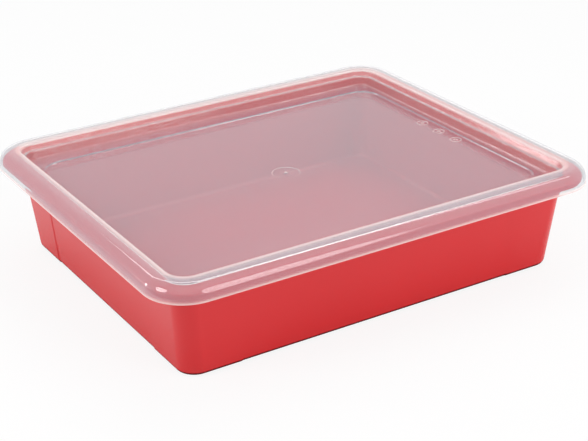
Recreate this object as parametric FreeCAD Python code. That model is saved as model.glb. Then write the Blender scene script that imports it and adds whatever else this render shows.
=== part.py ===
import FreeCAD, Part
import os
from math import cos, pi, sin

# Flat letter-size storage tray with a lift-off see-through lid: two injection mouldings. Millimetres, +Z up,
# origin on the ground under the middle of the tray, +X along the long side. Insets are measured inward from
# the foot of the lid's skirt, which is the widest outline.

# Lid outline at the foot of its skirt, and the whole height with the lid seated
LID_LENGTH = 343.0
LID_WIDTH = 286.0
LID_CORNER = 29.5
TOTAL_HEIGHT = 76.3

# Lid rim: skirt, rolled bead, seating shoulder and plug wall
LID_WALL = 1.3
SKIRT_FOOT = 64.5
SKIRT_DRAFT = 0.3
BEAD_RADIUS = 8.8
BEAD_INNER_INSET = 17.2
BEAD_INNER_RADIUS = 2.3
SHOULDER_INSET = 17.5
PLUG_TOP_INSET = 20.1
PLUG_FOOT_INSET = 20.9
PLUG_FOOT_RADIUS = 1.2

# Lid panel: a border ledge, then a slightly lower centre, with the moulding gate in the middle
LEDGE_TOP = 64.4
PANEL_TOP = 63.5
STEP_RUN = 2.0
PANEL_LENGTH = 291.0
PANEL_WIDTH = 218.0
PANEL_CORNER = 17.0
GATE_DISC_RADIUS = 10.5
GATE_DISC_DEPTH = 0.25
GATE_NUB_RADIUS = 1.5
GATE_NUB_HEIGHT = 0.35

# Tray: base outline, drafted wall and floor
BASE_LENGTH = 297.0
BASE_WIDTH = 240.0
BASE_CORNER = 13.5
TRAY_HEIGHT = 70.0
WALL_DRAFT = 0.0985
TRAY_WALL = 1.9
FLOOR_WALL = 2.0
BASE_EDGE_RADIUS = 3.5
INNER_EDGE_RADIUS = 3.0

# Tray walls: the middle of each side lies a little behind the corner pads
PANEL_SINK = 0.5
LONG_SIDE_PAD_START = 107.0
SHORT_SIDE_PAD_START = 75.5

# Tray rim: flat flange with a turned-down lip, inside the lid's skirt
RIM_INSET = 3.2
RIM_THICKNESS = 2.0
LIP_FOOT = 66.4
LIP_WALL = 1.8
RIM_EDGE_BEVEL = 0.8

# Floor: a foot band that the tray stands on, round a slightly raised middle
FOOT_BAND = 16.0
FOOT_HEIGHT = 0.8
RAISED_EDGE = 1.5
VESTIGE_RADIUS = 1.6
VESTIGE_HEIGHT = 0.4

SPARE = 20.0


def vec(x, y, z):
    return FreeCAD.Vector(x, y, z)


def rounded_outline(length, width, corner, z):
    """Rounded rectangle centred on the Z axis, as one closed wire of four lines and four arcs."""
    half_x = length / 2
    half_y = width / 2
    centres = [(half_x - corner, half_y - corner), (corner - half_x, half_y - corner),
               (corner - half_x, corner - half_y), (half_x - corner, corner - half_y)]
    arcs = []
    for turn, (cx, cy) in enumerate(centres):
        points = []
        for step in range(3):
            angle = turn * pi / 2 + step * pi / 4
            points.append(vec(cx + corner * cos(angle), cy + corner * sin(angle), z))
        arcs.append(Part.Arc(*points))
    edges = []
    for arc, following in zip(arcs, arcs[1:] + arcs[:1]):
        edges.append(arc.toShape())
        edges.append(Part.LineSegment(arc.EndPoint, following.StartPoint).toShape())
    return Part.Wire(edges)


def plate(length, width, corner, low, high):
    """Flat plate with rounded corners, from height low to height high."""
    face = Part.Face(rounded_outline(length, width, corner, low))
    return face.extrude(vec(0, 0, high - low))


def rim_profile():
    """Section of the lid's rim as (inset, height) points, with three points for each round stretch."""
    bead_centre = (SKIRT_DRAFT + BEAD_RADIUS, TOTAL_HEIGHT - BEAD_RADIUS)
    inner_centre = (BEAD_INNER_INSET - BEAD_INNER_RADIUS, TOTAL_HEIGHT - BEAD_INNER_RADIUS)
    plug_slope = (PLUG_FOOT_INSET - PLUG_TOP_INSET) / (TRAY_HEIGHT - LEDGE_TOP)
    shoulder_top = TRAY_HEIGHT + LID_WALL
    ledge_foot = LEDGE_TOP - LID_WALL
    ledge_inset = PLUG_FOOT_INSET + 2 * PLUG_FOOT_RADIUS

    def round_stretch(centre, radius, start, end):
        points = []
        for angle in (start, (start + end) / 2, end):
            points.append((centre[0] + radius * cos(angle), centre[1] + radius * sin(angle)))
        return points

    outer_bead = round_stretch(bead_centre, BEAD_RADIUS, pi, pi / 2)
    outer_lip = round_stretch(inner_centre, BEAD_INNER_RADIUS, pi / 2, 0)
    foot_centre = (PLUG_FOOT_INSET + PLUG_FOOT_RADIUS, LEDGE_TOP + PLUG_FOOT_RADIUS)
    foot = round_stretch(foot_centre, PLUG_FOOT_RADIUS, pi, 3 * pi / 2)
    under_bevel = PLUG_FOOT_RADIUS + LID_WALL / 2
    under_inset = PLUG_FOOT_INSET - LID_WALL
    under_foot = [(under_inset + under_bevel, ledge_foot), (under_inset, ledge_foot + under_bevel)]
    under_corner = (BEAD_INNER_INSET - LID_WALL, TOTAL_HEIGHT - LID_WALL)
    under_bead = round_stretch(bead_centre, BEAD_RADIUS - LID_WALL, pi / 2, pi)
    plug_top = (PLUG_TOP_INSET - plug_slope * LID_WALL, shoulder_top)
    return [
        [(0.0, SKIRT_FOOT), outer_bead[0]],
        outer_bead,
        [outer_bead[2], outer_lip[0]],
        outer_lip,
        [outer_lip[2], (SHOULDER_INSET, shoulder_top)],
        [(SHOULDER_INSET, shoulder_top), plug_top],
        [plug_top, foot[0]],
        foot,
        [foot[2], (ledge_inset, LEDGE_TOP)],
        [(ledge_inset, LEDGE_TOP), (ledge_inset, ledge_foot)],
        [(ledge_inset, ledge_foot), under_foot[0]],
        under_foot,
        [under_foot[1], (PLUG_TOP_INSET - LID_WALL, TRAY_HEIGHT)],
        [(PLUG_TOP_INSET - LID_WALL, TRAY_HEIGHT), (SHOULDER_INSET - LID_WALL, TRAY_HEIGHT)],
        [(SHOULDER_INSET - LID_WALL, TRAY_HEIGHT), under_corner],
        [under_corner, under_bead[0]],
        under_bead,
        [under_bead[2], (LID_WALL, SKIRT_FOOT)],
        [(LID_WALL, SKIRT_FOOT), (0.0, SKIRT_FOOT)],
    ]


def rim_section(origin, inward):
    """Face of the rim's section, standing at origin with its insets along the unit vector inward."""
    edges = []
    for stretch in rim_profile():
        points = [origin + inward * inset + vec(0, 0, height) for inset, height in stretch]
        if len(points) == 3:
            edges.append(Part.Arc(*points).toShape())
        else:
            edges.append(Part.LineSegment(*points).toShape())
    return Part.Face(Part.Wire(edges))


def lid_rim():
    """The rim's section run along the four sides and turned round the four corners."""
    half_x = LID_LENGTH / 2
    half_y = LID_WIDTH / 2
    run_x = LID_LENGTH - 2 * LID_CORNER
    run_y = LID_WIDTH - 2 * LID_CORNER
    pieces = []
    for side in (1, -1):
        long_start = vec(side * run_x / 2, -side * half_y, 0)
        pieces.append(rim_section(long_start, vec(0, side, 0)).extrude(vec(-side * run_x, 0, 0)))
        short_start = vec(side * half_x, side * run_y / 2, 0)
        pieces.append(rim_section(short_start, vec(-side, 0, 0)).extrude(vec(0, -side * run_y, 0)))
        for other in (1, -1):
            centre = vec(side * run_x / 2, other * run_y / 2, 0)
            section = rim_section(centre + vec(side * LID_CORNER, 0, 0), vec(-side, 0, 0))
            pieces.append(section.revolve(centre, vec(0, 0, 1), side * other * 90))
    return pieces[0].fuse(pieces[1:])


def lid_panel():
    """Border ledge with the centre sunk a little below it, at one wall thickness throughout."""
    ledge_inset = PLUG_FOOT_INSET + PLUG_FOOT_RADIUS
    sink = LEDGE_TOP - PANEL_TOP
    ledge = plate(LID_LENGTH - 2 * ledge_inset, LID_WIDTH - 2 * ledge_inset, LID_CORNER - ledge_inset,
                  LEDGE_TOP - LID_WALL, LEDGE_TOP)
    outlines = []
    for z in (PANEL_TOP - sink, LEDGE_TOP + sink):
        grow = (z - (PANEL_TOP + LEDGE_TOP) / 2) * STEP_RUN / sink
        length = PANEL_LENGTH + 2 * grow
        width = PANEL_WIDTH + 2 * grow
        outlines.append(rounded_outline(length, width, PANEL_CORNER + grow, z))
    opening = Part.makeLoft(outlines, True, True)
    centre = plate(PANEL_LENGTH + 2 * LID_WALL, PANEL_WIDTH + 2 * LID_WALL, PANEL_CORNER + LID_WALL,
                   PANEL_TOP - LID_WALL, PANEL_TOP)
    return ledge.cut(opening).fuse(centre)


def make_lid():
    lid = lid_rim().fuse(lid_panel())
    disc = Part.makeCylinder(GATE_DISC_RADIUS, SPARE, vec(0, 0, PANEL_TOP - GATE_DISC_DEPTH))
    nub_foot = PANEL_TOP - LID_WALL / 2
    nub = Part.makeCylinder(GATE_NUB_RADIUS, PANEL_TOP + GATE_NUB_HEIGHT - nub_foot, vec(0, 0, nub_foot))
    return lid.cut(disc).fuse(nub).removeSplitter()


def tub(inset, low, edge_radius):
    """Solid drafted form of the tray, drawn in by inset, with its lower edge rounded."""
    outlines = []
    for z in (low, TRAY_HEIGHT + SPARE):
        spread = 2 * (WALL_DRAFT * z - inset)
        outlines.append(rounded_outline(BASE_LENGTH + spread, BASE_WIDTH + spread, BASE_CORNER - inset, z))
    form = Part.makeLoft(outlines, True, True)
    lower_edges = [edge for edge in form.Edges if edge.BoundBox.ZMax < low + edge_radius]
    return form.makeFillet(edge_radius, lower_edges)


def corner_pads():
    """Blocks that pick out the corners of the tray, where the wall stands proud of the side panels."""
    reach = LID_LENGTH / 2
    pads = []
    for side_x in (1, -1):
        for side_y in (1, -1):
            pad = Part.makeBox(reach, reach, TRAY_HEIGHT)
            pad.translate(vec(LONG_SIDE_PAD_START, SHORT_SIDE_PAD_START, 0))
            if side_x < 0:
                pad = pad.mirror(vec(0, 0, 0), vec(1, 0, 0))
            if side_y < 0:
                pad = pad.mirror(vec(0, 0, 0), vec(0, 1, 0))
            pads.append(pad)
    return Part.makeCompound(pads)


def tray_rim():
    """Flat flange round the mouth, with its outer edge turned down into a lip."""
    length = LID_LENGTH - 2 * RIM_INSET
    width = LID_WIDTH - 2 * RIM_INSET
    corner = LID_CORNER - RIM_INSET
    rim = plate(length, width, corner, LIP_FOOT, TRAY_HEIGHT)
    top_edges = [edge for edge in rim.Edges if edge.BoundBox.ZMin > TRAY_HEIGHT - RIM_EDGE_BEVEL]
    rim = rim.makeChamfer(RIM_EDGE_BEVEL, top_edges)
    hollow = plate(length - 2 * LIP_WALL, width - 2 * LIP_WALL, corner - LIP_WALL,
                   LIP_FOOT - SPARE, TRAY_HEIGHT - RIM_THICKNESS)
    return rim.cut(hollow)


def floor_plate(inset, low, high):
    """Plate under or over the floor's middle, drawn in from the base outline by inset."""
    return plate(BASE_LENGTH - 2 * inset, BASE_WIDTH - 2 * inset, BASE_CORNER, low, high)


def make_tray():
    body_height = Part.makeBox(LID_LENGTH, LID_WIDTH, TRAY_HEIGHT, vec(-LID_LENGTH / 2, -LID_WIDTH / 2, 0))
    walls = tub(PANEL_SINK, 0.0, BASE_EDGE_RADIUS)
    corners = tub(0.0, 0.0, BASE_EDGE_RADIUS).common(corner_pads())
    body = walls.fuse(corners).common(body_height).fuse(tray_rim())
    body = body.cut(tub(TRAY_WALL + PANEL_SINK / 2, FLOOR_WALL, INNER_EDGE_RADIUS))
    body = body.fuse(floor_plate(FOOT_BAND - RAISED_EDGE, FLOOR_WALL / 2, FLOOR_WALL + FOOT_HEIGHT))
    body = body.cut(floor_plate(FOOT_BAND, -SPARE, FOOT_HEIGHT))
    vestige_foot = FOOT_HEIGHT - VESTIGE_HEIGHT
    vestige = Part.makeCylinder(VESTIGE_RADIUS, FLOOR_WALL - vestige_foot, vec(0, 0, vestige_foot))
    return body.fuse(vestige).removeSplitter()


os.makedirs("parts", exist_ok=True)
for name, shape in (("tray", make_tray()), ("lid", make_lid())):
    solid = shape.Solids[0]
    print(name, "solids", len(shape.Solids), "valid", solid.isValid(), "volume", round(solid.Volume))
    solid.exportStep("parts/" + name + ".step")
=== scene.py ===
from math import cos, pi, radians, sin

import bmesh
import bpy
from mathutils import Matrix, Vector


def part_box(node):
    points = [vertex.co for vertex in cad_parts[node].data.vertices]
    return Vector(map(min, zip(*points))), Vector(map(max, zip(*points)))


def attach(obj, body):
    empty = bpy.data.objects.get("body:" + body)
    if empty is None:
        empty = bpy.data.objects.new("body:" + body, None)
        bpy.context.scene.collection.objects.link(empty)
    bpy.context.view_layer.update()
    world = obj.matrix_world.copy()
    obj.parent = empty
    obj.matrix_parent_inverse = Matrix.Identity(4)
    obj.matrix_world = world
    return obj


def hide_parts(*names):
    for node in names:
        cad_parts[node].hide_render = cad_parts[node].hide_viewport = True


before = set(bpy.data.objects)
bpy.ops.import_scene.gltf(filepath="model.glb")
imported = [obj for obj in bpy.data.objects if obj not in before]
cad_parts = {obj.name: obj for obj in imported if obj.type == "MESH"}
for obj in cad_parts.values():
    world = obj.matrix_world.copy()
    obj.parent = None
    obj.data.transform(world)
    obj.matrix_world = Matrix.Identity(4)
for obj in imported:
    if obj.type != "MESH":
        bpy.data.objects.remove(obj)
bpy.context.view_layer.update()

# Tray: the red tub that everything stands on, one injection moulding in polypropylene. Its walls are
# drafted, its rim is turned down all round to give fingers a blunt edge, and its floor is raised inside a
# foot band, with the stub of the moulding gate under it. Its base edge carries painted shade, a dark colour
# that stands in for the contact shadow where the rounding meets the floor.
tray_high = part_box("tray")[1]
TRAY_TOP = tray_high.z
BASE_HALF = Vector((0.1485, 0.120))
BASE_CORNER = 0.0135
BASE_ROUND = 0.0035
WALL_DRAFT = 0.0985
WALL_INSET = 0.00215
PANEL_SINK = 0.0005
LONG_PAD_START = 0.107
SHORT_PAD_START = 0.0755
PAD_SLOPE = 0.0007
RIM_HALF = Vector((tray_high.x, tray_high.y))
RIM_CORNER = 0.0263
RIM_WALL = 0.002
RIM_UNDER = TRAY_TOP - RIM_WALL
LIP_FOOT = 0.0664
LIP_WALL = 0.0018
FLOOR_WALL = 0.002
FLOOR_ROUND = 0.003
FOOT_BAND = 0.016
FOOT_HEIGHT = 0.0008
RAISED_EDGE = 0.0015
EDGE_ROUND = 0.0006
STUB_RADIUS = 0.0016
STUB_HEIGHT = 0.0004
CORNER_STEPS = 14


def outline(half, corner, z, stops, sink=0.0):
    """Points of a rounded rectangle at height z, counter-clockwise from the middle of its front side.

    stops holds the places along the long and the short sides that get points, out from the middle. Points
    within the first stop are drawn in by sink."""
    points = []
    for turn in range(4):
        along = half[turn % 2]
        across = half[1 - turn % 2]
        side = stops[turn % 2]
        places = [-s for s in reversed(side)] + list(side)
        spun = Matrix.Rotation(turn * pi / 2, 2)
        for place in places:
            depth = sink if abs(place) <= side[0] else 0.0
            points.append(spun @ Vector((place, depth - across)))
        for step in range(CORNER_STEPS + 1):
            angle = -pi / 2 + step / CORNER_STEPS * pi / 2
            centre = Vector((along - corner, corner - across))
            points.append(spun @ (centre + corner * Vector((cos(angle), sin(angle)))))
    return [(p.x, p.y, z) for p in points]


def loft(name, loops):
    """Closed mesh through loops of equal length, with a flat face on the first and the last."""
    count = len(loops[0])
    faces = [tuple(reversed(range(count)))]
    for low in range(len(loops) - 1):
        for k in range(count):
            following = (k + 1) % count
            faces.append((low * count + k, low * count + following,
                          (low + 1) * count + following, (low + 1) * count + k))
    faces.append(tuple(range((len(loops) - 1) * count, len(loops) * count)))
    mesh = bpy.data.meshes.new(name)
    mesh.from_pydata([p for loop in loops for p in loop], [], faces)
    mesh.validate()
    mesh.shade_smooth()
    piece = bpy.data.objects.new(name, mesh)
    bpy.context.scene.collection.objects.link(piece)
    shading = piece.modifiers.new("flat_faces", "WEIGHTED_NORMAL")
    shading.keep_sharp = True
    return piece


def arc(centre, radius, start, end, steps):
    """(inset, height) points of an arc, with its angles in degrees."""
    points = []
    for step in range(steps + 1):
        angle = radians(start + (end - start) * step / steps)
        points.append((centre[0] + radius * cos(angle), centre[1] + radius * sin(angle)))
    return points


def shrunk(half, inset):
    return half - Vector((inset, inset))


TRAY_STOPS = ((LONG_PAD_START, LONG_PAD_START + PAD_SLOPE),
              (SHORT_PAD_START, SHORT_PAD_START + PAD_SLOPE))


def wall_loop(inset, z, sink=0.0):
    return outline(shrunk(BASE_HALF, inset - WALL_DRAFT * z), BASE_CORNER - inset, z, TRAY_STOPS, sink)


def rim_loop(inset, z):
    return outline(shrunk(RIM_HALF, inset), RIM_CORNER - inset, z, TRAY_STOPS)


def floor_loop(inset, z):
    return outline(shrunk(BASE_HALF, inset), BASE_CORNER, z, TRAY_STOPS)


def gate_loop(radius, z):
    """Round loop about the middle, with as many points as an outline with two stops on each half side."""
    count = 4 * (2 * len(TRAY_STOPS[0]) + CORNER_STEPS + 1)
    front = -pi / 2 - 2 * pi / count * (len(TRAY_STOPS[0]) - 0.5)
    angles = [front + 2 * pi * k / count for k in range(count)]
    return [(radius * cos(angle), radius * sin(angle), z) for angle in angles]


# Loops from the gate's stub out over the foot band, up the walls, round the rim and down to the floor.
raised_inset = FOOT_BAND - RAISED_EDGE
tray_loops = [gate_loop(STUB_RADIUS, FOOT_HEIGHT - STUB_HEIGHT), gate_loop(STUB_RADIUS, FOOT_HEIGHT)]
tray_loops += [floor_loop(FOOT_BAND + FOOT_HEIGHT, FOOT_HEIGHT), floor_loop(FOOT_BAND, 0.0)]
for inset, z in arc((BASE_ROUND, BASE_ROUND), BASE_ROUND, 270, 186, 6):
    tray_loops.append(wall_loop(inset, z, PANEL_SINK))
# Painted shade: the underside and the base rounding are marked for a dark colour that stands in for the
# contact shadow.
base_shade_share = [1.0] * (len(tray_loops) - 1) + [0.0]
tray_loops.append(wall_loop(0.0, RIM_UNDER - 2 * EDGE_ROUND, PANEL_SINK))
tray_loops.append(wall_loop(-2 * EDGE_ROUND, RIM_UNDER))
tray_loops.append(rim_loop(LIP_WALL + EDGE_ROUND, RIM_UNDER))
tray_loops.append(rim_loop(LIP_WALL, RIM_UNDER - EDGE_ROUND))
for inset, z in arc((LIP_WALL - EDGE_ROUND, LIP_FOOT + EDGE_ROUND), EDGE_ROUND, 0, -90, 3):
    tray_loops.append(rim_loop(inset, z))
for inset, z in arc((EDGE_ROUND, LIP_FOOT + EDGE_ROUND), EDGE_ROUND, 270, 180, 3):
    tray_loops.append(rim_loop(inset, z))
for inset, z in arc((2 * EDGE_ROUND, TRAY_TOP - 2 * EDGE_ROUND), 2 * EDGE_ROUND, 180, 90, 5):
    tray_loops.append(rim_loop(inset, z))
for inset, z in arc((WALL_INSET - EDGE_ROUND, TRAY_TOP - EDGE_ROUND), EDGE_ROUND, 90, 0, 3):
    tray_loops.append(wall_loop(inset, z))
for inset, z in arc((WALL_INSET + FLOOR_ROUND, FLOOR_WALL + FLOOR_ROUND), FLOOR_ROUND, 180, 270, 6):
    tray_loops.append(wall_loop(inset, z))
tray_loops.append(floor_loop(raised_inset - EDGE_ROUND, FLOOR_WALL))
raised_round = (raised_inset + EDGE_ROUND, FLOOR_WALL + FOOT_HEIGHT - EDGE_ROUND)
for inset, z in arc(raised_round, EDGE_ROUND, 180, 90, 3):
    tray_loops.append(floor_loop(inset, z))
tray = loft("tray_tub", tray_loops)
base_shade_share += [0.0] * (len(tray_loops) - len(base_shade_share))
base_shade_places = tray.data.attributes.new("base_shade_share", "FLOAT", "POINT")
base_shade_places.data.foreach_set("value", [share for share in base_shade_share for point in tray_loops[0]])


class Wire:
    """A socket in a shader's node tree. Sums on it add Math nodes, and make adds any other node."""

    def __init__(self, tree, socket=None):
        self.tree = tree
        self.socket = socket

    def make(self, kind, settings=(), inputs=(), output=0):
        node = self.tree.nodes.new(kind)
        for name, value in dict(settings).items():
            setattr(node, name, value)
        for name, value in dict(inputs).items():
            if isinstance(value, Wire):
                self.tree.links.new(value.socket, node.inputs[name])
            else:
                node.inputs[name].default_value = value
        return Wire(self.tree, node.outputs[output] if node.outputs else None)

    def sum(self, operation, first, second):
        return self.make("ShaderNodeMath", {"operation": operation}, {0: first, 1: second})

    def __add__(self, other):
        return self.sum("ADD", self, other)

    def __sub__(self, other):
        return self.sum("SUBTRACT", self, other)

    def __rsub__(self, other):
        return self.sum("SUBTRACT", other, self)

    def __mul__(self, other):
        return self.sum("MULTIPLY", self, other)

    __radd__ = __add__
    __rmul__ = __mul__


def new_material(name):
    """An empty node material and a Wire to build it with."""
    material = bpy.data.materials.new(name)
    material.use_nodes = True
    material.node_tree.nodes.clear()
    return material, Wire(material.node_tree)


TRAY_RED = (0.66, 0.022, 0.026, 1.0)
TRAY_RED_DEEP = (0.63, 0.020, 0.024, 1.0)
# Painted shade colour for the base rounding, in place of its contact shadow.
BASE_SHADE_RED = (0.12, 0.007, 0.008, 1.0)
CLOUD_SCALE = 14.0
GRAIN_SCALE = 700.0
TRAY_ROUGHNESS = 0.2
CLOUD_ROUGHNESS = 0.06
GRAIN_ROUGHNESS = 0.02
TRAY_IOR = 1.47
TRAY_SPECULAR = 0.45

tray_red, w = new_material("tray_red")
place = w.make("ShaderNodeTexCoord", output="Object")
clouds = w.make("ShaderNodeTexNoise", {}, {"Vector": place, "Scale": CLOUD_SCALE, "Detail": 2.0})
grain = w.make("ShaderNodeTexNoise", {}, {"Vector": place, "Scale": GRAIN_SCALE, "Detail": 1.0})
# Painted shade: where the base loops are marked, a dark diffuse replaces the red gloss.
base_shade_mask = w.make("ShaderNodeAttribute", {"attribute_name": "base_shade_share"}, output="Fac")
colour = w.make("ShaderNodeMix", {"data_type": "RGBA"},
                {"Factor": clouds, "A": TRAY_RED_DEEP, "B": TRAY_RED}, output="Result")
gloss = w.make("ShaderNodeBsdfPrincipled", {}, {
    "Base Color": colour, "IOR": TRAY_IOR, "Specular IOR Level": TRAY_SPECULAR,
    "Roughness": TRAY_ROUGHNESS + CLOUD_ROUGHNESS * clouds + GRAIN_ROUGHNESS * grain})
base_shade_bsdf = w.make("ShaderNodeBsdfDiffuse", {}, {"Color": BASE_SHADE_RED})
w.make("ShaderNodeOutputMaterial", {}, {
    "Surface": w.make("ShaderNodeMixShader", {}, {0: base_shade_mask, 1: gloss, 2: base_shade_bsdf})})
tray.data.materials.append(tray_red)
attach(tray, "tray")
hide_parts("tray")

# Lid: the see-through cover, one moulding in clarified polypropylene. Its hollow rolled rim hangs over the
# tray's rim, a shoulder rests on that and a plug wall drops inside. The recessed panel takes the base of a
# tray stacked on top, and has the mark of the moulding gate in its middle.
lid_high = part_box("lid")[1]
LID_TOP = lid_high.z
LID_HALF = Vector((lid_high.x, lid_high.y))
LID_CORNER = 0.0295
LID_WALL = 0.0013
SKIRT_FOOT = 0.0645
BEAD_RADIUS = 0.0088
BEAD_INSET = 0.0003
LIP_INSET = 0.0172
LIP_RADIUS = 0.0023
SHOULDER_INSET = 0.0175
PLUG_TOP_INSET = 0.0201
PLUG_FOOT_INSET = 0.0205
PLUG_FOOT_RADIUS = 0.0012
LEDGE_TOP = 0.0644
PANEL_TOP = 0.0635
PANEL_HALF = Vector((0.1455, 0.109))
PANEL_CORNER = 0.017
STEP_RUN = 0.0024
STEP_POINTS = 8
GATE_DISC_RADIUS = 0.0105
GATE_DISC_DEPTH = 0.00025
GATE_NUB_RADIUS = 0.0015
GATE_NUB_HEIGHT = 0.00035
GATE_EDGE = 0.0004
SEAT_GAP = 0.00006
FOOT_BRIGHT_HEIGHT = 0.0008
# Shares of painted highlight, a brighter and warmer milk, on the lid's edges, group by group.
SKIRT_GLEAM = 0.5
FOOT_GLEAM = 0.4
FLANK_GLEAM = 0.05
CROWN_GLEAM = 0.34
LIP_GLEAM = 0.5
INNER_RIM_GLEAM = 0.19
MARK_GLEAM = 0.45
LID_STOPS = ((0.05, 0.11), (0.04, 0.08))


def lid_loop(inset, z):
    return outline(shrunk(LID_HALF, inset), LID_CORNER - inset, z, LID_STOPS)


def step_loops(drop):
    """Loops of the soft step between ledge and panel, from the ledge down, lowered by drop."""
    loops = []
    for point in range(STEP_POINTS + 1):
        t = point / STEP_POINTS
        grow = STEP_RUN * (0.5 - t)
        z = PANEL_TOP + (LEDGE_TOP - PANEL_TOP) * (1 + cos(pi * t)) / 2 - drop
        loops.append(outline(shrunk(PANEL_HALF, -grow), PANEL_CORNER + grow, z, LID_STOPS))
    return loops


bead_centre = (BEAD_INSET + BEAD_RADIUS, LID_TOP - BEAD_RADIUS)
lip_centre = (LIP_INSET - LIP_RADIUS, LID_TOP - LIP_RADIUS)
foot_centre = (PLUG_FOOT_INSET + PLUG_FOOT_RADIUS, LEDGE_TOP + PLUG_FOOT_RADIUS)
under_seat = TRAY_TOP + SEAT_GAP
shoulder_top = TRAY_TOP + LID_WALL
under_plug = PLUG_TOP_INSET - LID_WALL
under_shoulder = SHOULDER_INSET - LID_WALL
skirt_middle = LID_WALL / 2

# The rim's section: under the plug wall and the rim to the skirt's foot, then over the bead to the ledge.
under_rim = arc(foot_centre, PLUG_FOOT_RADIUS + LID_WALL, 270, 183, 6)
under_rim += arc((under_plug - EDGE_ROUND, under_seat + EDGE_ROUND), EDGE_ROUND, 0, -90, 3)
under_rim += arc((under_shoulder + EDGE_ROUND, under_seat + EDGE_ROUND), EDGE_ROUND, 270, 180, 3)
under_rim += arc(lip_centre, LIP_RADIUS - LID_WALL, 0, 90, 4)
under_rim += arc(bead_centre, BEAD_RADIUS - LID_WALL, 90, 180, 12)
under_rim.append((LID_WALL, SKIRT_FOOT + FOOT_BRIGHT_HEIGHT))
skirt = arc((skirt_middle, SKIRT_FOOT + skirt_middle), skirt_middle, 0, -180, 8)
foot = [(BEAD_INSET / 3, SKIRT_FOOT + FOOT_BRIGHT_HEIGHT)]
flank = arc(bead_centre, BEAD_RADIUS, 180, 150, 5)
bead = arc(bead_centre, BEAD_RADIUS, 144, 90, 9)
crown = arc(lip_centre, LIP_RADIUS, 90, 76, 2)
lip = arc(lip_centre, LIP_RADIUS, 64, 24, 4)
inner_rim = arc(lip_centre, LIP_RADIUS, 10, 0, 1)
inner_rim += arc((SHOULDER_INSET + EDGE_ROUND, shoulder_top + EDGE_ROUND), EDGE_ROUND, 180, 270, 4)
inner_rim += arc((PLUG_TOP_INSET - EDGE_ROUND, shoulder_top - EDGE_ROUND), EDGE_ROUND, 90, 5, 4)
inner_rim += arc(foot_centre, PLUG_FOOT_RADIUS, 183, 270, 6)
gate_floor = PANEL_TOP - GATE_DISC_DEPTH
nub_top = PANEL_TOP + GATE_NUB_HEIGHT

# Painted highlight: edges and tight rounds get a milkier, near-white and warmer colour that stands in for
# highlights and for red light piped along the wall; the gleam share holds how much, loop by loop.
lid_loops = list(reversed(step_loops(LID_WALL)))
painted_gleam = [0.0] * len(lid_loops)
for points, level in ((under_rim, 0.0), (skirt, SKIRT_GLEAM), (foot, FOOT_GLEAM), (flank, FLANK_GLEAM),
                      (bead, 0.0), (crown, CROWN_GLEAM), (lip, LIP_GLEAM), (inner_rim, INNER_RIM_GLEAM)):
    lid_loops += [lid_loop(inset, z) for inset, z in points]
    painted_gleam += [level] * len(points)
# The gate mark's ring edges carry painted highlight.
gate = [(GATE_DISC_RADIUS, PANEL_TOP, 0.0), (GATE_DISC_RADIUS - GATE_EDGE, gate_floor, MARK_GLEAM),
        (GATE_DISC_RADIUS - 2 * GATE_EDGE, gate_floor, 0.0), (GATE_NUB_RADIUS + GATE_EDGE, gate_floor, 0.0),
        (GATE_NUB_RADIUS, PANEL_TOP, 0.0), (GATE_NUB_RADIUS, nub_top - GATE_EDGE, 0.0),
        (GATE_NUB_RADIUS - GATE_EDGE, nub_top, MARK_GLEAM)]
lid_loops += step_loops(0.0) + [gate_loop(radius, z) for radius, z, level in gate]
painted_gleam += [0.0] * (STEP_POINTS + 1) + [level for radius, z, level in gate]
lid = loft("lid_cover", lid_loops)
painted_gleam_places = lid.data.attributes.new("painted_gleam", "FLOAT", "POINT")
painted_gleam_places.data.foreach_set("value", [level for level in painted_gleam for point in lid_loops[0]])

# Mould marks: three plain rings that round mould inserts leave on the lid, raised by a hair on its panel.
# They are one with the lid, so they join its mesh.
MARK_X = 0.1385
MARK_SPACING = 0.0208
MARK_MIDDLE_Y = 0.0024
MARK_RADIUS = 0.0042
MARK_DOT_RADIUS = 0.0012
MARK_WIDTH = 0.0007
MARK_HEIGHT = 0.0003
MARK_SIDES = 32
MARK_SIDE_POINTS = 6

marks = bmesh.new()
marks.from_mesh(lid.data)
painted_gleam_layer = marks.verts.layers.float["painted_gleam"]
for mark in (-1, 0, 1):
    for radius in (MARK_RADIUS, MARK_DOT_RADIUS):
        grid = []
        for side in range(MARK_SIDES):
            turn = 2 * pi * side / MARK_SIDES
            row = []
            for step in range(MARK_SIDE_POINTS):
                round_angle = 2 * pi * step / MARK_SIDE_POINTS
                reach = radius + MARK_WIDTH / 2 * cos(round_angle)
                rise = MARK_HEIGHT * sin(round_angle)
                x = MARK_X + reach * cos(turn)
                y = MARK_MIDDLE_Y + mark * MARK_SPACING + reach * sin(turn)
                point = marks.verts.new((x, y, PANEL_TOP + rise))
                # Each ring carries painted highlight.
                point[painted_gleam_layer] = MARK_GLEAM
                row.append(point)
            grid.append(row)
        for side in range(MARK_SIDES):
            for step in range(MARK_SIDE_POINTS):
                beside = grid[(side + 1) % MARK_SIDES]
                after = (step + 1) % MARK_SIDE_POINTS
                face = marks.faces.new((grid[side][step], beside[step], beside[after], grid[side][after]))
                face.smooth = True
marks.to_mesh(lid.data)
marks.free()

LID_TINT = (0.99, 0.975, 0.962, 1.0)
LID_MILK = (0.375, 0.435, 0.525, 1.0)
# Painted highlight colour for edges: a warm near-white that stands in for highlights and red light piped
# from the tray.
LID_GLEAM = (1.0, 0.79, 0.77, 1.0)
LID_SHADOW = (0.94, 0.93, 0.93, 1.0)
LID_IOR = 1.49
HAZE_SCALE = 9.0
BEND_ROUGHNESS = 0.03
SHINE_ROUGHNESS = 0.09
MILK_ROUGHNESS = 0.12
OUTER_MIRROR = 1.4
TRAPPED_FROM = 0.4
WARM_FROM = 0.06
WARM_TO = 0.26
MILK_SHARE = 0.13
SLANT_SHARE = 0.18
HAZE_SHARE = 0.03
GLEAM_SHARE = 0.5

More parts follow.
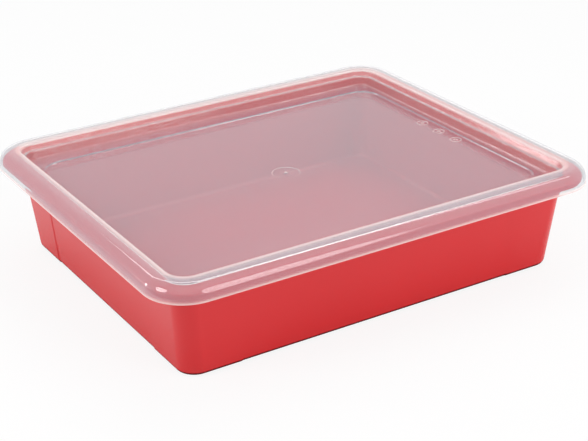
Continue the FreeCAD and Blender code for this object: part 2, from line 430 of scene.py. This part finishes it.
lid_clear, w = new_material("lid_clear")
place = w.make("ShaderNodeTexCoord", output="Object")
haze = w.make("ShaderNodeTexNoise", {}, {"Vector": place, "Scale": HAZE_SCALE, "Detail": 3.0})
bend = w.make("ShaderNodeBsdfRefraction", {}, {
    "Color": LID_TINT, "Roughness": BEND_ROUGHNESS, "IOR": LID_IOR})
shine = w.make("ShaderNodeBsdfGlossy", {}, {
    "Color": (1.0, 1.0, 1.0, 1.0), "Roughness": SHINE_ROUGHNESS})
fresnel = w.make("ShaderNodeFresnel", {}, {"IOR": LID_IOR})
# Both faces of the thin wall mirror the room. The outer face stands for both, and the inner one traps
# light.
inside = w.make("ShaderNodeNewGeometry", output="Backfacing")
trapped = w.make("ShaderNodeMapRange", {}, {"Value": fresnel, "From Min": TRAPPED_FROM, "From Max": 1.0})
mirror = (1.0 - inside) * OUTER_MIRROR * fresnel + inside * trapped
clear = w.make("ShaderNodeMixShader", {}, {0: mirror, 1: bend, 2: shine})
# The gleam share turns the milk into the painted highlight colour and draws more of it.
painted_gleam_mask = w.make("ShaderNodeAttribute", {"attribute_name": "painted_gleam"}, output="Fac")
slant = w.make("ShaderNodeLayerWeight", {}, {"Blend": 0.5}, output="Facing")
painted_gleam_tint = w.make("ShaderNodeMapRange", {}, {
    "Value": painted_gleam_mask, "From Min": WARM_FROM, "From Max": WARM_TO})
milk_and_gleam_colour = w.make("ShaderNodeMix", {"data_type": "RGBA"},
              {"Factor": painted_gleam_tint, "A": LID_MILK, "B": LID_GLEAM}, output="Result")
milk = w.make("ShaderNodeBsdfPrincipled", {}, {
    "Base Color": milk_and_gleam_colour, "Roughness": MILK_ROUGHNESS, "IOR": LID_IOR})
body = w.make("ShaderNodeMixShader", {}, {
    0: MILK_SHARE + SLANT_SHARE * slant + HAZE_SHARE * haze + GLEAM_SHARE * painted_gleam_mask, 1: clear, 2: milk})
lamp_ray = w.make("ShaderNodeLightPath", output="Is Shadow Ray")
bounce_ray = w.make("ShaderNodeLightPath", output="Is Diffuse Ray")
passing = w.make("ShaderNodeBsdfTransparent", {}, {"Color": LID_SHADOW})
w.make("ShaderNodeOutputMaterial", {}, {
    "Surface": w.make("ShaderNodeMixShader", {}, {0: lamp_ray + bounce_ray, 1: body, 2: passing})})
lid.data.materials.append(lid_clear)
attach(lid, "lid")
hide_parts("lid")

# Studio: a plain white floor in a white room. Soft lamps stand behind, in front, on the left and at the
# back left, with a low fill on the right, and the camera stands at the photograph's angle.
FLOOR_REACH = 6.0
FLOOR_PAPER = (0.88, 0.88, 0.88, 1.0)
FLOOR_GLOW = 0.87
CONTACT_REACH = 0.15
SIDE_FADE = 3.0

floor_mesh = bpy.data.meshes.new("floor")
corners = [(x * FLOOR_REACH, y * FLOOR_REACH, 0.0) for x, y in ((-1, -1), (1, -1), (1, 1), (-1, 1))]
floor_mesh.from_pydata(corners, [], [(0, 1, 2, 3)])
floor = bpy.data.objects.new("floor", floor_mesh)
bpy.context.scene.collection.objects.link(floor)
floor_white, w = new_material("floor_white")
place = w.make("ShaderNodeTexCoord", output="Object")
seen = w.make("ShaderNodeLightPath", output="Is Camera Ray")
glossy = w.make("ShaderNodeLightPath", output="Is Glossy Ray")
through = w.make("ShaderNodeLightPath", output="Is Transmission Ray")
x, y = [w.make("ShaderNodeSeparateXYZ", {}, {"Vector": place}, output=axis) for axis in "XY"]
beside = w.sum("ABSOLUTE", x, 0.0) - BASE_HALF.x
before = w.sum("ABSOLUTE", y, 0.0) - BASE_HALF.y
reach = w.sum("MAXIMUM", SIDE_FADE * beside, before)
away = w.make("ShaderNodeMapRange", {"interpolation_type": "SMOOTHSTEP"}, {
    "Value": reach, "From Min": 0.0, "From Max": CONTACT_REACH, "To Min": 0.0, "To Max": 1.0})
shown = w.sum("MINIMUM", seen + glossy * away + through, 1.0)
paper = w.make("ShaderNodeBsdfDiffuse", {}, {"Color": FLOOR_PAPER})
glow = w.make("ShaderNodeEmission", {}, {"Color": (1.0, 1.0, 1.0, 1.0), "Strength": 1.0})
cover = w.make("ShaderNodeMixShader", {}, {0: FLOOR_GLOW * shown, 1: paper, 2: glow})
w.make("ShaderNodeOutputMaterial", {}, {"Surface": cover})
floor_mesh.materials.append(floor_white)

ROOM_LIGHT = 0.19
CEILING_LIGHT = 0.55
HORIZON_LIGHT = 0.4
HORIZON_RISE = 0.17
SWEEP_WAY = (0.524, 0.721, 0.454)
SWEEP_FROM = 0.9
SWEEP_LIGHT = 0.45

world = bpy.data.worlds.new("studio")
world.use_nodes = True
world.node_tree.nodes.clear()
w = Wire(world.node_tree)
seen = w.make("ShaderNodeLightPath", output="Is Camera Ray")
through = w.make("ShaderNodeLightPath", output="Is Transmission Ray")
mirrored = w.make("ShaderNodeLightPath", output="Is Glossy Ray")
way = w.make("ShaderNodeTexCoord", output="Generated")
rise = w.make("ShaderNodeSeparateXYZ", {}, {"Vector": way}, output="Z")
low = w.make("ShaderNodeMapRange", {"interpolation_type": "SMOOTHSTEP"}, {
    "Value": rise, "From Min": 0.0, "From Max": HORIZON_RISE, "To Min": HORIZON_LIGHT, "To Max": 0.0})
facing = w.make("ShaderNodeVectorMath", {"operation": "DOT_PRODUCT"},
                {0: way, 1: SWEEP_WAY}, output="Value")
sweep = w.make("ShaderNodeMapRange", {"interpolation_type": "SMOOTHSTEP"}, {
    "Value": facing, "From Min": SWEEP_FROM, "From Max": 1.0, "To Min": 0.0, "To Max": SWEEP_LIGHT})
room = ROOM_LIGHT + CEILING_LIGHT * w.sum("MAXIMUM", rise, 0.0) + low + sweep
sky = w.make("ShaderNodeBackground", {}, {
    "Color": (1.0, 1.0, 1.0, 1.0), "Strength": w.sum("MAXIMUM", room, seen + mirrored + through)})
w.make("ShaderNodeOutputWorld", {}, {"Surface": sky})
bpy.context.scene.world = world


def softbox(name, shape, place, target, size, power):
    """An area lamp of size in metres and power in watts at place, turned to target."""
    lamp = bpy.data.lights.new(name, "AREA")
    lamp.shape = shape
    lamp.size, lamp.size_y = size
    lamp.energy = power
    holder = bpy.data.objects.new(name, lamp)
    bpy.context.scene.collection.objects.link(holder)
    holder.location = place
    holder.rotation_euler = (Vector(target) - Vector(place)).to_track_quat("-Z", "Y").to_euler()
    return holder


softbox("strip_lamp", "RECTANGLE", place=(0.367, 0.485, 1.0), target=(-0.344, -0.067, 0.07),
        size=(1.74, 0.18), power=3.9)
softbox("front_lamp", "ELLIPSE", place=(0.45, -1.3, 0.68), target=(0, -0.13, 0.07),
        size=(0.68, 0.92), power=6.4)
softbox("left_lamp", "ELLIPSE", place=(-1.288, 0.031, 0.81), target=(0, -0.05, 0.06),
        size=(0.66, 0.66), power=7.6)
softbox("window_lamp", "RECTANGLE", place=(-2.0, 2.0, 0.56), target=(0.15, -0.07, 0.06),
        size=(0.3, 0.45), power=7.4)
fill = softbox("fill_lamp", "ELLIPSE", place=(0.95, -0.75, 0.35), target=(0.1, -0.1, 0.05),
               size=(0.4, 0.4), power=2.6)
fill.visible_glossy = False

IMAGE_WIDTH = 588
SENSOR_WIDTH = 36.0
FOCAL_PIXELS = 1456.98
AXIS_COLUMN = 270.0
AIM = Vector((-0.02607, -0.01988, 0.040))
DISTANCE = 1.02808
AZIMUTH = radians(-30.57)
ELEVATION = radians(25.084)
ROLL = radians(-1.396)

back = Vector((sin(AZIMUTH) * cos(ELEVATION), -cos(AZIMUTH) * cos(ELEVATION), sin(ELEVATION)))
level = (-back).cross(Vector((0, 0, 1))).normalized()
upright = level.cross(-back)
across = level * cos(ROLL) + upright * sin(ROLL)
up = upright * cos(ROLL) - level * sin(ROLL)
lens = bpy.data.cameras.new("camera")
lens.sensor_width = SENSOR_WIDTH
lens.lens = FOCAL_PIXELS / IMAGE_WIDTH * SENSOR_WIDTH
lens.shift_x = 0.5 - AXIS_COLUMN / IMAGE_WIDTH
camera = bpy.data.objects.new("camera", lens)
turned = Matrix((across, up, back)).transposed().to_4x4()
camera.matrix_world = Matrix.Translation(AIM + back * DISTANCE) @ turned
bpy.context.scene.collection.objects.link(camera)
bpy.context.scene.camera = camera
bpy.context.scene.view_settings.view_transform = "Standard"
